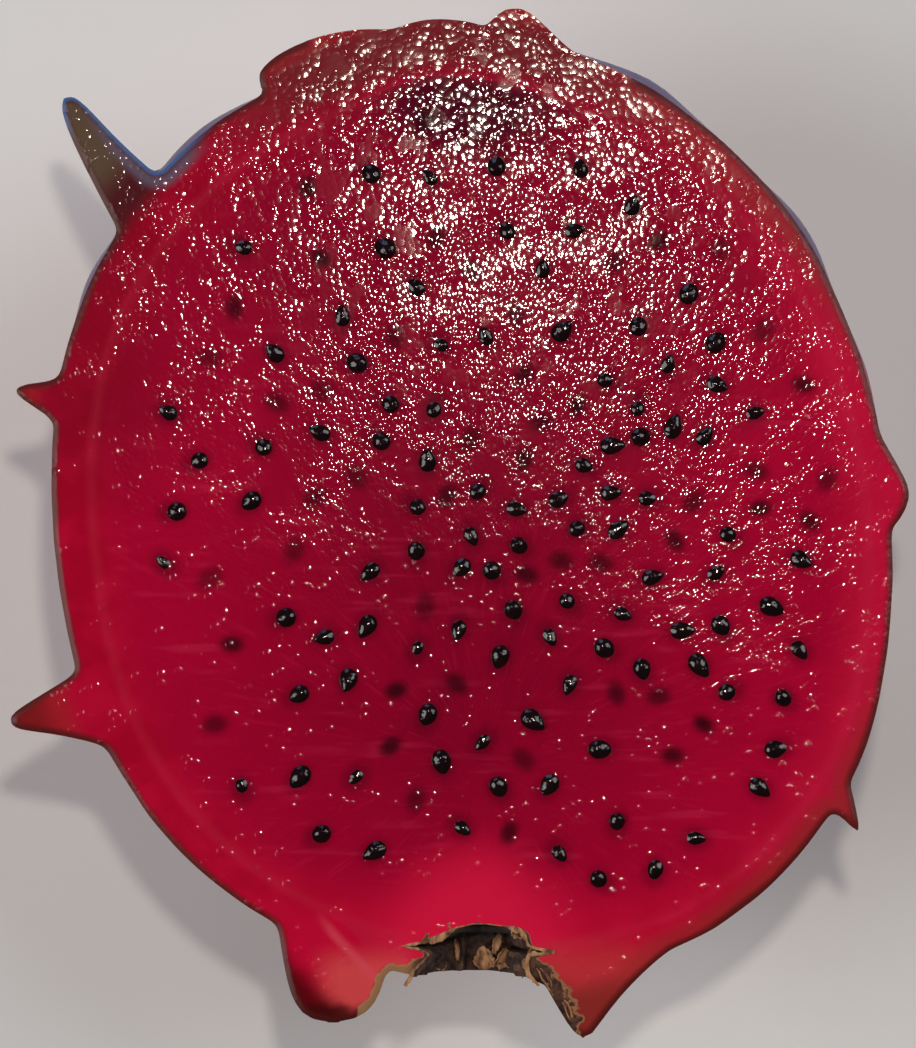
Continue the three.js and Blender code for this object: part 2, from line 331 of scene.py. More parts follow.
def turned(name, stations, around, radius_at, centre_x):
    """A closed form about an axis along Y, with its radius given at each station and roll."""
    y, roll = np.meshgrid(stations, np.linspace(0, 2 * math.pi, around, endpoint=False), indexing="ij")
    y, roll = y.ravel(), roll.ravel()
    radius = radius_at(y, roll)
    points = np.stack([centre_x + radius * np.cos(roll), y, radius * np.sin(roll) + CUT], -1)
    last = (len(stations) - 1) * around
    caps = [tuple(range(around))[::-1], tuple(range(last, last + around))]
    return make_mesh(name, points, woven(len(stations), around, closed=True) + caps)


pit_tool = turned("pit", np.linspace(-40.1, -60, 90) * MM, 96, pit_radius, PIT_X)
collar_stations = np.array([COLLAR["inner_y"], COLLAR["rim_y"]]) * MM


def collar_radius(y, roll):
    ends = [COLLAR["inner_radius"], COLLAR["rim_radius"]]
    return MM * np.interp(-y / MM, [-COLLAR["inner_y"], -COLLAR["rim_y"]], ends)


# The pulp.
# Soft wet magenta flesh that fills the peel and reaches the wall of the pit. It is one body, full of seeds.
pulp_depth = SKIN_DEPTH - RIND_UNDERNEATH
collar_plug = turned("collar", collar_stations, 96, collar_radius, COLLAR["x"] * MM)
pulp = ovoid("pulp_flesh", pulp_radius, pulp_depth, 130, 180)
join_on(pulp, collar_plug)
pulp_form = pulp.copy()
pulp_form.data = pulp.data.copy()
scene.collection.objects.link(pulp_form)
cut_away(pulp, pit_tool, knife)


def seed_nearness(points, seed, grow):
    """1 in the middle of a seed and 0 past its edge and its soft surround."""
    dx, dy = points[:, 0] - seed["x"], points[:, 1] - seed["y"]
    c, s = math.cos(seed["turn"]), math.sin(seed["turn"])
    across, along = c * dx + s * dy, c * dy - s * dx
    far = np.hypot(across / (0.85 * MM + grow), along / (1.25 * MM + grow))
    return np.exp(-((far / 0.9) ** 4))


FAR_OFF = 9  # a distance past every edge that a material looks for


def note_pit(piece, points, rim=FAR_OFF):
    """Keeps how far each point is off the pit in mm, and off its wall in widths of the dry tissue."""
    x, y, z = points.T
    off_wall = np.hypot(x - PIT_X, z) - pit_radius(y, np.arctan2(z, x - PIT_X))
    right = smoothstep(3 * MM, 6 * MM, x - PIT_X) * smoothstep(-42.9 * MM, -44.5 * MM, y)
    left = smoothstep(-4 * MM, -7 * MM, x - PIT_X) * smoothstep(-43.5 * MM, -45.5 * MM, y)
    floor = smoothstep(-41.8 * MM, -40.9 * MM, y) * (np.abs(x - PIT_X) < 3.4 * MM)
    dry_width = 0.45 - 0.35 * floor + 2.3 * right + 0.7 * left
    note(piece, "off_pit", np.hypot(x - PIT_X, y - PIT_WAIST_Y) / MM)
    off_dry = np.clip(off_wall / MM / dry_width, 0, FAR_OFF) + FAR_OFF * (y > -39.5 * MM)
    off_lip = rim / (0.8 * MM) + FAR_OFF * (np.abs(x + 6.6 * MM) > 3.6 * MM) + FAR_OFF * (y > -42 * MM)
    note(piece, "off_dry", np.minimum(off_dry, off_lip))


points = points_of(pulp)
on_top = points[:, 2] > -0.8 * MM
smudge, seed_shade = np.zeros(len(points)), np.zeros(len(points))
for seed in sunk_seeds:
    depth = seed["sink"] / MM
    dark = (1.15 - 1.4 * depth) * seed_nearness(points, seed, 0.9 * depth * MM)
    smudge = np.maximum(smudge, dark)
# Round each uncovered seed the clear gel is painted darker, as the shade of the seed seen through it.
for seed in shown_seeds:
    seed_shade = np.maximum(seed_shade, seed_nearness(points, seed, 0.6 * MM))
angle, far = np.arctan2(points[:, 1], points[:, 0]), np.hypot(points[:, 0], points[:, 1])
note(pulp, "smudge", smudge * on_top)
note(pulp, "seed_shade", seed_shade * on_top)
note(pulp, "inset", (pulp_radius(angle) - far) / MM)
note_pit(pulp, points)


class Wire:
    """The output of a node. Python's signs between wires and numbers add Math nodes."""

    def __init__(self, tree, socket):
        self.tree, self.socket = tree, socket

    def maths(self, operation, *values):
        return add(self.tree, "ShaderNodeMath", {"operation": operation}, dict(enumerate(values)))

    def __add__(self, other):
        return self.maths("ADD", self, other)

    def __sub__(self, other):
        return self.maths("SUBTRACT", self, other)

    def __rsub__(self, other):
        return self.maths("SUBTRACT", other, self)

    def __mul__(self, other):
        return self.maths("MULTIPLY", self, other)

    def __truediv__(self, other):
        return self.maths("DIVIDE", self, other)

    def __pow__(self, other):
        return self.maths("POWER", self, other)

    def __abs__(self):
        return self.maths("ABSOLUTE", self)

    __radd__ = __add__
    __rmul__ = __mul__

    def at_least(self, other):
        return self.maths("MAXIMUM", self, other)

    def band(self, low, high):
        """0 up to low, 1 from high, and smooth between. low may be the greater."""
        sockets = {"Value": self, "From Min": low, "From Max": high}
        return add(self.tree, "ShaderNodeMapRange", {"interpolation_type": "SMOOTHSTEP"}, sockets)

    def speckle(self, size, detail=0, roughness=0.5):
        """Soft unevenness from 0 to 1, of a size in metres, where the wire is a place."""
        sockets = {"Vector": self, "Scale": 1 / size, "Detail": detail, "Roughness": roughness}
        return add(self.tree, "ShaderNodeTexNoise", {}, sockets, output="Fac")


def add(tree, kind, settings=None, sockets=None, output=0):
    """Adds a node: its settings first, then the values or wires of its sockets."""
    node = tree.nodes.new(kind)
    for name, value in (settings or {}).items():
        setattr(node, name, value)
    for key, value in (sockets or {}).items():
        if isinstance(value, Wire):
            tree.links.new(value.socket, node.inputs[key])
        else:
            node.inputs[key].default_value = value
    return Wire(tree, node.outputs[output]) if len(node.outputs) else None


def new_material(name):
    material = bpy.data.materials.new(name)
    material.use_nodes = True
    material.node_tree.nodes.clear()
    return material, material.node_tree


def colour(red, green, blue):
    """A colour from its eye-scale numbers, 0 to 255."""

    def light(value):
        share = value / 255
        return share / 12.92 if value <= 10 else ((share + 0.055) / 1.055) ** 2.4

    return (light(red), light(green), light(blue), 1.0)


def blend(tree, share, under, over):
    """Two colours mixed by a share from 0 to 1."""
    return add(tree, "ShaderNodeMix", {"data_type": "RGBA"}, {0: share, 6: under, 7: over}, output=2)


def coats(tree, under, *layers):
    """Colours laid over one another, each given as its share and its eye-scale numbers."""
    for share, over in layers:
        under = blend(tree, share, under, colour(*over))
    return under


def kept(tree, name):
    return add(tree, "ShaderNodeAttribute", {"attribute_name": name}, output="Fac")


def place(tree):
    return add(tree, "ShaderNodeTexCoord", output="Object")


def coordinate(tree, axis):
    """How far along an axis the surface lies, in millimetres."""
    return add(tree, "ShaderNodeSeparateXYZ", {}, {0: place(tree)}, output=axis) / MM


def vector_maths(tree, operation, *values, output=0):
    return add(tree, "ShaderNodeVectorMath", {"operation": operation}, dict(enumerate(values)), output)


def off_spot(tree, spot):
    """Distance from a spot of the cut face, in millimetres."""
    return vector_maths(tree, "DISTANCE", place(tree), (*spot, CUT), output="Value") / MM


def bumps(tree, height):
    """A relief from its height in millimetres."""
    return add(tree, "ShaderNodeBump", {}, {"Distance": MM, "Height": height})


def finish(tree, values):
    shader = add(tree, "ShaderNodeBsdfPrincipled", {}, values)
    add(tree, "ShaderNodeOutputMaterial", {}, {"Surface": shader})


STREAM = (2.3 * MM, -23.6 * MM)  # where the rows of cells run to
STREAM_RING = 45 * MM  # how far from there a row is as wide as its pattern says
SPARK_SPOT = (6 * MM, 32 * MM)  # where a level mirror would show the small lamp
HORN_ROOT = (-32 * MM, 31 * MM)
PIT_FLOOR = (3 * MM, -38 * MM)
DARK_CORE = (0, -14 * MM)
DARK_STEM_END = (2 * MM, 27 * MM)
BRUISE = (1 * MM, 42.5 * MM)


def stream_rows(tree, along):
    """Places for a pattern of cells that lie in rows towards one spot, and their distance from it."""
    level = vector_maths(tree, "MULTIPLY", place(tree), (1, 1, 0))
    from_spot = vector_maths(tree, "SUBTRACT", level, (*STREAM, 0))
    ring = vector_maths(tree, "SCALE", vector_maths(tree, "NORMALIZE", from_spot))
    ring.socket.node.inputs["Scale"].default_value = STREAM_RING
    far = vector_maths(tree, "LENGTH", from_spot, output="Value")
    lift = add(tree, "ShaderNodeCombineXYZ", {}, {"Z": (far * STREAM_RING) ** 0.5 * 2 / along})
    return vector_maths(tree, "ADD", ring, lift), far


def off_cell(tree, vector, size):
    """Distance from the nearest of many scattered spots, one to a cell."""
    return add(tree, "ShaderNodeTexVoronoi", {}, {"Vector": vector, "Scale": 1 / size}, output="Distance")


def beads(tree, size, spread):
    """Round drops, one to a cell."""
    off = off_cell(tree, place(tree), size)
    return (spread - off * off).at_least(0.0)


def wet_face(tree):
    """The wet cut: small domed cells in rows that each throw back a spark, smooth spots, and stray drops."""
    here, x, y = place(tree), coordinate(tree, "X"), coordinate(tree, "Y")
    at_horn = off_spot(tree, HORN_ROOT).band(8, 3) * 0.9
    at_pit = off_spot(tree, PIT_FLOOR).band(14, 6) * 1.2
    at_lamp = off_spot(tree, SPARK_SPOT).band(12, 8)
    juicy = (x * 0.75 + y).band(-26, 6) * 0.65 + 0.35 + at_horn + at_pit
    upper = (x * 0.4 + y).band(-20, 10) * 0.75 + 0.25 + at_horn
    smooth_spots = here.speckle(5 * MM, detail=1).band(0.4, 0.56)
    rough = here.speckle(3.2 * MM, detail=1).band(0.36, 0.44)
    rough = rough.at_least(at_lamp) * 0.85 + 0.15

    rows, far = stream_rows(tree, 1.3)
    fade = far.band(1 * MM, 38 * MM) * upper
    tilt = rows.speckle(1.2 * MM) - 0.5
    off = off_cell(tree, rows, 0.44 * MM)
    cells = (tilt * 0.11 + (0.2 - off * off) * 0.045) * (smooth_spots * 0.5 + 0.5) * fade

    strings = here.speckle(5 * MM, detail=3).band(0.5, 0.58)
    domes = beads(tree, 1.15 * MM, 0.11) * strings * (juicy * 0.6 + 0.4)
    strays = beads(tree, 1.6 * MM, 0.09) * here.speckle(5 * MM, detail=2).band(0.43, 0.5)
    return bumps(tree, (cells + domes * 0.42) * rough + strays * 0.68)


def dry_edge(tree, flesh):
    """Brown dry tissue along the pit, with a pale torn line where it leaves the wet flesh."""
    here = place(tree)
    ragged = kept(tree, "off_dry") + (here.speckle(0.9 * MM, detail=3) - 0.5) * 1.1
    dry = ragged.band(1.12, 0.92)
    line = ragged.band(0.8, 0.94) * dry
    left = coordinate(tree, "X").band(-3.5, -5.5)
    light = here.speckle(0.7 * MM, detail=4).band(0.35, 0.65)
    brown = coats(
        tree, colour(48, 25, 20),
        (light, (92, 56, 42)),
        (line * 0.8, (176, 118, 74)),
        (left * 0.7, (180, 132, 90)),
    )
    return blend(tree, dry, flesh, brown), dry


def shared_tints(tree, flesh, mottle, inside):
    """Tints that pass from flesh to rind: the rim's red, the dark stem end and the tissue round the pit."""
    x, y = coordinate(tree, "X"), coordinate(tree, "Y")
    red = place(tree).speckle(5 * MM, detail=3).band(0.35, 0.65)
    right_rim = x.band(20, 40) * inside.band(5.0, -1.0)
    deep = off_spot(tree, DARK_STEM_END).band(40, 14)
    dusk = x.band(-22, -36) * y.band(-2, 12)
    blossom_end = y.band(-33, -41)
    near_pit = (kept(tree, "off_pit") + mottle * 4.0 - 2.0).band(13.0, 5.0)

    left, right = x.band(-4, -6), x.band(6, 10)
    ragged = (mottle - 0.5) * 3
    # The pale pink patch on the bottom-left scale's cut is a painted highlight.
    painted_sheen_patch = left * x.band(-15.5, -11.5) * y.band(-41.5, -45)
    off_fold = x * 0.735 + y * 0.678 + 36.95
    fold = abs(off_fold).band(0.8, 0.0) * x.band(-14.5, -12.5)
    corner = left * y.band(-40.5, -43) * (x + y * 0.95 + ragged).band(-56, -60.2)
    left_lip = left * (y + ragged).band(-47.8, -49)
    right_scale = right * (y + ragged).band(-40.5, -44.5)
    right_tip = right * (y + ragged).band(-44.5, -48)

    rind = blend(tree, red, colour(174, 6, 42), colour(192, 12, 52))
    return coats(
        tree, blend(tree, inside.band(4.0, 0.0), flesh, rind),
        (right_rim * 0.6, (216, 24, 68)),
        (deep * 0.6, (118, 6, 36)),
        (dusk * 0.5, (118, 10, 34)),
        (blossom_end * 0.5, (214, 14, 58)),
        (near_pit * 0.95, (226, 24, 66)),
        (painted_sheen_patch * 0.75, (226, 84, 84)),
        (left * fold * mottle * 0.7, (232, 90, 110)),
        (corner * 0.9, (78, 7, 10)),
        (left_lip * 0.85, (66, 12, 12)),
        (right_scale * 0.9, (200, 54, 60)),
        (right_tip * 0.9, (140, 46, 40)),
    )


def pulp_material():
    material, tree = new_material("wet magenta flesh")
    here, inset = place(tree), kept(tree, "inset")
    rows, _ = stream_rows(tree, 6.0)
    mottle = here.speckle(9 * MM, detail=3)
    grain = here.speckle(0.5 * MM, detail=1)
    streak = rows.speckle(2.6 * MM, detail=2)
    core = off_spot(tree, DARK_CORE).band(36, 4) * (mottle + streak * 0.3)
    fibre = rows.speckle(1.1 * MM, detail=2).band(0.56, 0.75)
    drawn_out = add(tree, "ShaderNodeMapping", {},
                    {"Vector": here, "Rotation": (0, 0, 0.15), "Scale": (0.12, 1, 1)})
    vein = drawn_out.speckle(1.2 * MM, detail=2).band(0.56, 0.72)
    flesh = coats(
        tree, colour(160, 1, 43),
        (mottle * 0.8 + grain * 0.3 - 0.05, (196, 6, 57)),
        (core * 0.8, (98, 1, 30)),
        (fibre * 0.2, (204, 28, 72)),
        (vein * mottle.band(0.4, 0.56) * 0.22, (214, 48, 88)),
    )
    squeezed = vector_maths(tree, "MULTIPLY", here, (0.6, 1, 1))
    bruise = vector_maths(tree, "DISTANCE", squeezed, (*BRUISE, CUT), output="Value")
    bruise = bruise.band(8 * MM, 3 * MM) * mottle.band(0.3, 0.5)
    flesh = coats(
        tree, shared_tints(tree, flesh, mottle, inset),
        (bruise * 0.85, (62, 4, 26)),
        (inset.band(1.1, 0.0) * mottle * 0.3, (206, 54, 80)),
        # painted shade of each uncovered seed in the clear gel round it
        (kept(tree, "seed_shade") * 0.55, (78, 2, 24)),
        (kept(tree, "smudge") * 0.92, (30, 4, 13)),
    )
    flesh, dry = dry_edge(tree, flesh)
    finish(tree, {"Base Color": flesh, "Roughness": dry * 0.6 + 0.07, "Normal": wet_face(tree)})
    return material


pulp.data.materials.clear()
pulp.data.materials.append(pulp_material())
shade_smooth(pulp)
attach(pulp, "root")
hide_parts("pulp")


# The peel.
# A leathery waxy rind that carries broad green-tipped scales. They grow out of it along a spiral, bend
# towards the blossom end and stand off at their tips. Nine of them were cut through with the fruit.
# Millimetres. Each midrib runs from the foot by the bend to the tip, and the scale is thick at foot and tip.
CUT_SCALES = [
    {"midrib": [(-29.0, 28.9), (-35.6, 36.2), (-39.4, 43.0)], "thick": (8.5, 2.9), "width": 9},
    {"midrib": [(-37.4, 12.0), (-41.0, 12.6), (-44.4, 13.5)], "thick": (7.5, 1.6), "width": 8},
    {"midrib": [(-32.8, -17.6), (-40.0, -18.6), (-45.0, -19.9)], "thick": (11.6, 2.4), "width": 10},
    {"midrib": [(-11.4, -35.6), (-12.6, -44.0), (-12.2, -50.0)], "thick": (15.0, 8.8), "width": 10,
     "cup": 18},
    {"midrib": [(14.2, -37.6), (12.4, -45.0), (12.6, -51.6)], "thick": (22.0, 3.0), "width": 10,
     "cup": 9, "taper": 1.35},
    {"midrib": [(35.6, -25.2), (38.5, -27.0), (40.1, -31.0)], "thick": (7.5, 0.9), "width": 7},
    {"midrib": [(40.6, 2.6), (43.6, 2.2), (44.9, 1.6)], "thick": (15.0, 4.0), "width": 8},
    {"midrib": [(6.6, 43.0), (6.0, 48.0), (4.9, 51.6)], "thick": (17.0, 4.6), "width": 9},
    {"midrib": [(-2.8, 45.6), (-10.4, 49.4), (-20.2, 44.0)], "thick": (5.6, 4.0), "width": 9},
]
# Degrees and millimetres. The spiral ends at a share of the fruit's half length.
SPIRAL = {"turn": 135, "step": 3.4, "start_y": 34, "half_length": 47, "end": 0.97, "first": -5, "last": 22}
SCALE = {"length": 18, "out": 7.5, "thick": (5.6, 1.5), "width": 10.5, "cup": 26}
KEEL = {"height": 1.3 * MM, "width": 5 * MM, "length": 17 * MM}
PEEL_VOXEL = 0.52 * MM
SWELLINGS = [(67, 9, 1.1), (40, 7, 1.0), (124, 9, 0.9), (146, 6, 0.8), (20, 6, 0.5)]  # degrees, degrees, mm
ROUNDED_RIM = 0.4 * MM


def towards(tilt, roll):
    """The way that leaves the middle at a tilt from the stem end and a roll about the fruit's axis."""
    return np.array([-math.sin(tilt) * math.cos(roll), math.cos(tilt), -math.sin(tilt) * math.sin(roll)])


def skin_point(tilt, roll):
    way = towards(tilt, roll)
    return way * reach(way[None, :], skin_radius, SKIN_DEPTH)[0]


def spiral_places():
    """The scales below the cut: each one's number, its tilt off the stem end and its roll about the axis."""
    places = []
    for k in range(SPIRAL["first"], SPIRAL["last"] + 1):
        turn = SPIRAL["turn"] * k % 360
        along = (SPIRAL["start_y"] - SPIRAL["step"] * k) / SPIRAL["half_length"]
        if 0 < turn < 180:
            tilt = math.acos(max(-SPIRAL["end"], min(SPIRAL["end"], along)))
            places.append((k, tilt, math.radians(turn)))
    return places


scale_places = spiral_places()


def keels(way):
    """The height of the ridges that run down the skin into the scales."""
    tilt = np.arccos(np.clip(way[:, 1], -1, 1))
    roll = np.arctan2(-way[:, 2], -way[:, 0])
    height = 0.15 * MM * ripple(way, 0.35) + 0.1 * MM * ripple(way, 0.09, 5.0)
    depth = -way[:, 2] * SKIN_DEPTH
    outline_angle = np.degrees(np.arctan2(way[:, 1], way[:, 0]))
    under_rim = smoothstep(0.1 * MM, 1.3 * MM, depth) * (1 - smoothstep(3 * MM, 14 * MM, depth))
    for middle, spread, swell in SWELLINGS:
        height += swell * MM * under_rim * np.exp(-(((outline_angle - middle) / spread) ** 2))
    for _, scale_tilt, scale_roll in scale_places:
        behind = (scale_tilt - tilt) * SKIN_DEPTH
        aside = (roll - scale_roll) * np.sin(tilt) * SKIN_DEPTH
        along = smoothstep(-6 * MM, 1 * MM, behind) * (1 - smoothstep(2 * MM, KEEL["length"], behind))
        height += KEEL["height"] * along * np.exp(-((aside / KEEL["width"]) ** 2))
    return height


def unit(vector):
    return vector / np.linalg.norm(vector)


def scale_blade(midrib, side, outward, thick, width, cup=30, taper=1.6):
    """One leafy scale about a midrib: thick at its base, and curved round the fruit by cup."""
    grid, faces = ball_grid(44, 48)
    s = (np.arccos(np.clip(grid[:, 1], -1, 1)) / math.pi)[:, None]
    ring = np.maximum(np.hypot(grid[:, 0], grid[:, 2]), 1e-9)[:, None]
    opening = np.minimum(1, 9 * s)
    half_width = width * MM * np.maximum(0, np.sin(math.pi * s**0.45)) ** 0.8 * opening
    root, tip = thick[0] * MM, thick[1] * MM
    half_thick = 0.5 * np.sqrt(np.maximum(0, 1 - s**8)) * opening * (tip + (root - tip) * (1 - s) ** taper)
    across = half_width * grid[:, :1] / ring
    up = half_thick * grid[:, 2:] / ring
    a, b, c = midrib
    rib = (1 - s) ** 2 * a + 2 * s * (1 - s) * b + s**2 * c
    tangent = (1 - s) * (b - a) + s * (c - b)
    tangent /= np.linalg.norm(tangent, axis=1)[:, None]
    normal = np.cross(tangent, side)
    return rib + across * side + up * normal - across**2 / (2 * cup * MM) * outward, faces


def cut_scale(spec):
    shape = dict(spec)
    midrib = [np.array([*spot, 0.0]) * MM for spot in shape.pop("midrib")]
    outward = unit(midrib[0])
    forward = midrib[2] - midrib[0]
    turns_left = forward[0] * outward[1] - forward[1] * outward[0] > 0
    return scale_blade(midrib, np.array([0, 0, -1.0 if turns_left else 1.0]), outward, **shape)


def spiral_scale(k, tilt, roll):
    root = skin_point(tilt, roll)
    forward = unit(skin_point(tilt + 0.05, roll) - root)
    outward = unit(np.cross(skin_point(tilt, roll + 0.05) - root, forward))
    side = np.cross(outward, forward)
    underneath, at_blossom = outward[2] < -0.93, tilt > 2.5
    size = 0.9 + 0.1 * math.cos(2.4 * k)
    along = (0.25 if at_blossom else 1) * SCALE["length"] * size * MM
    out = (0.1 if underneath else 1) * (0.45 if at_blossom else 1) * SCALE["out"] * size * MM
    drop = along**2 / (2 * SKIN_DEPTH)
    steps = ((-5 * MM, -2.2 * MM), (0.55 * along, 0.6 * MM), (along, out - drop))
    midrib = [root + forward * a + outward * b for a, b in steps]
    return scale_blade(midrib, side, outward, SCALE["thick"], SCALE["width"], SCALE["cup"])


def grown_skin():
    """The whole uncut fruit: its skin with every scale grown out of it, in one surface."""
    whole = ovoid("peel_skin", skin_radius, SKIN_DEPTH, 200, 260, keels)
    shells = [cut_scale(spec) for spec in CUT_SCALES] + [spiral_scale(*spot) for spot in scale_places]
    join = bmesh.new()
    join.from_mesh(whole.data)
    for points, faces in shells:
        corners = [join.verts.new(p + (0, 0, CUT)) for p in points]
        for face in faces:
            join.faces.new([corners[i] for i in face])
    bmesh.ops.recalc_face_normals(join, faces=join.faces)
    join.to_mesh(whole.data)
    join.free()
    remesh = whole.modifiers.new("one surface", "REMESH")
    remesh.mode, remesh.voxel_size = "VOXEL", PEEL_VOXEL
    soften = whole.modifiers.new("soften", "SMOOTH")
    soften.factor, soften.iterations = 0.5, 6
    return settle(whole)


def table_block():
    size = 200 * MM
    points, faces = [], [(0, 1, 3, 2), (4, 6, 7, 5), (0, 4, 5, 1), (2, 3, 7, 6), (0, 2, 6, 4), (1, 5, 7, 3)]
    for x in (-size, size):
        for y in (-size, size):
            for z in (-size, 0):
                points.append((x, y, z))
    return make_mesh("under_table", np.array(points), faces)


peel = grown_skin()
under_table = table_block()
cut_away(peel, pulp_form, pit_tool, knife, under_table)


def cut_faces(piece):
    """Which faces the knife made."""
    normals = np.empty(len(piece.data.polygons) * 3)
    middles = np.empty(len(piece.data.polygons) * 3)
    piece.data.polygons.foreach_get("normal", normals)
    piece.data.polygons.foreach_get("center", middles)
    return (normals.reshape(-1, 3)[:, 2] > 0.9) & (middles.reshape(-1, 3)[:, 2] > CUT - 0.4 * MM)


def rim_distance(piece, is_cut):
    """Distance of each point from the outer edge of the cut face."""
    shape = bmesh.new()
    shape.from_mesh(piece.data)
    shape.faces.ensure_lookup_table()
    edge_points = set()
    for edge in shape.edges:
        sides = {bool(is_cut[face.index]) for face in edge.link_faces}
        if len(sides) == 2:
            edge_points.update(edge.verts)
    outer = []
    for vert in edge_points:
        x, y = vert.co.x, vert.co.y
        beyond_pulp = math.hypot(x, y) - pulp_radius(math.atan2(y, x))
        off_collar = abs(x - COLLAR["x"] * MM) - float(collar_radius(y, 0))
        if beyond_pulp > 1 * MM and (off_collar > 0.5 * MM or y < -44 * MM):
            outer.append(vert.co.copy())
    tree = kdtree.KDTree(len(outer))
    for i, co in enumerate(outer):
        tree.insert(co, i)
    tree.balance()
    distances = [tree.find(vert.co)[2] if vert.co.z > CUT - 1 * MM else FAR_OFF for vert in shape.verts]
    shape.free()
    return np.array(distances)


is_cut = cut_faces(peel)
points = points_of(peel)
far = np.linalg.norm(points, axis=1)
angle = np.arctan2(points[:, 1], points[:, 0])
lift = far - reach(points / far[:, None], skin_radius, SKIN_DEPTH)
rim = rim_distance(peel, is_cut)
note(peel, "lift", lift / MM)
note(peel, "rim", rim / MM)
note(peel, "inner", (np.hypot(points[:, 0], points[:, 1]) - pulp_radius(angle)) / MM)
note_pit(peel, points, rim)
points[:, 2] -= 0.2 * MM * np.maximum(0, 1 - rim / ROUNDED_RIM)
move_points(peel, points)


def skin_material():
    material, tree = new_material("waxy red skin")
    here, lift = place(tree), kept(tree, "lift")
    mottle = here.speckle(8 * MM, detail=4)
    pores = here.speckle(1.1 * MM, detail=2).band(0.6, 0.72)
    green = (lift + mottle * 3 - 1.5).band(2.0, 7.0)
    brown = (lift + mottle * 2 - 1.0).band(8.0, 12.0)
    streaks = vector_maths(tree, "MULTIPLY", here, (1, 1, 0.3)).speckle(1.6 * MM, detail=3)
    under_cut = CUT / MM - coordinate(tree, "Z") - (mottle - 0.5) * 6 - (streaks - 0.5) * 5
    # The blue over the upper skin near the cut is a painted reflection of the cool window light.
    painted_blue_reflection = (coordinate(tree, "Y") + mottle * 10).band(15, 30) * under_cut.band(6, 0.4)
    dry = (kept(tree, "off_dry") + mottle).band(3.2, 1.6)
    skin = coats(
        tree, colour(150, 20, 48),
        (mottle, (205, 52, 88)),
        (pores * 0.3, (222, 110, 120)),
        (green * 0.85, (120, 128, 52)),
        (brown * 0.7, (110, 84, 52)),
        (painted_blue_reflection * 0.85, (84, 100, 140)),
        (dry, (66, 42, 34)),
    )
    wrinkle = here.speckle(2.2 * MM, detail=4, roughness=0.6)
    fine = here.speckle(0.35 * MM, detail=1)
    finish(tree, {"Base Color": skin, "Roughness": mottle * 0.2 + 0.34, "Coat Weight": 0.15,
                  "Coat Roughness": 0.3, "Normal": bumps(tree, wrinkle * 0.25 + fine * 0.05)})
    return material


NOTCH = (-32.5 * MM, 35.5 * MM)  # between the horn and the body, where the rind's edge is painted the mauve-grey of the skin seen past it


def rind_material():
    material, tree = new_material("cut rind")
    x, y = coordinate(tree, "X"), coordinate(tree, "Y")
    lift, rim, inner = (kept(tree, name) for name in ("lift", "rim", "inner"))
    mottle = place(tree).speckle(5 * MM, detail=3)
    out = lift + mottle * 2 - 1.0
    stem_end = (y + x * 0.35 + mottle * 10).band(31, 46) * inner.band(0.0, 2.4)
    stem_tint = blend(tree, x.band(8, 26), colour(124, 32, 40), colour(166, 40, 52))
    scale = lift.band(0.4, 3.2) * y.band(-36, -32)
    tip = out.band(2.5, 5.5) * y.band(30, 20) * y.band(-40, -36)
    right_low = (x - y).band(52, 68) * rim.band(3.0, 1.0)
    pale_line = inner.band(0.8, 0.0) * mottle
    skin_line = (rim + mottle * 0.6 - 0.3).band(0.95, 0.2)

    at_horn = x.band(-24, -28) * y.band(24, 30)
    past_midrib = (x * 0.81 + y * 0.586).band(-6.8, -5.6)
    notch = off_spot(tree, NOTCH).band(8.5, 5) * past_midrib * rim.band(2.2, 1.0)
    upper_edge = past_midrib.at_least(y.band(38, 41))
    # A painted blue highlight runs along the horn's upper rim and stands for the cool window light on its
    # edge.
    painted_blue_reflection = at_horn * upper_edge * lift.band(-1.2, 0.0) * (rim + mottle * 0.4).band(0.75, 0.4)

    rind = shared_tints(tree, colour(180, 8, 46), mottle, inner * -1.0)
    rind = coats(
        tree, blend(tree, stem_end, rind, stem_tint),
        (scale * 0.85, (172, 34, 44)),
        (tip * 0.6, (104, 26, 24)),
        (right_low * 0.7, (148, 44, 40)),
        (at_horn * out.band(-2.0, 0.4), (84, 28, 34)),
        (at_horn * out.band(1.5, 5.5), (98, 78, 64)),
        (notch * 0.85, (104, 90, 110)),
        (pale_line * 0.3, (206, 54, 80)),
        (skin_line * 0.85, (78, 22, 18)),
        (painted_blue_reflection * 0.8, (66, 112, 168)),
    )
    rind, dry = dry_edge(tree, rind)
    finish(tree, {"Base Color": rind, "Roughness": dry * 0.5 + stem_end * 0.04 + skin_line * 0.3 + 0.08,
                  "Normal": wet_face(tree), "Specular IOR Level": 0.3})
    return material


peel.data.materials.clear()
peel.data.materials.append(skin_material())
peel.data.materials.append(rind_material())
peel.data.polygons.foreach_set("material_index", is_cut.astype(np.int32))
shade_smooth(peel)
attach(peel, "root")
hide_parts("peel")


# The seeds.
# Hard black seeds like flattened drops. The wet pulp holds each of them about half sunk, with its narrow
# end mostly towards the fruit's middle.
SEED_SIZE = (2.2 * MM, 2.75 * MM, 1.6 * MM)
SEED_DEEPER = 0.08 * MM
SEED_LEAN = 0.45


def seed_points():
    points = np.array([(s["x"], s["y"], CUT - SEED_DEEPER - s["sink"]) for s in shown_seeds])
    bed = make_mesh("seeds", points, [])
    note(bed, "turn", [s["turn"] for s in shown_seeds])
    note(bed, "size", [s["size"] for s in shown_seeds])
    note(bed, "lean", [SEED_LEAN * math.sin(37.0 * i) for i in range(len(shown_seeds))])
    return bed


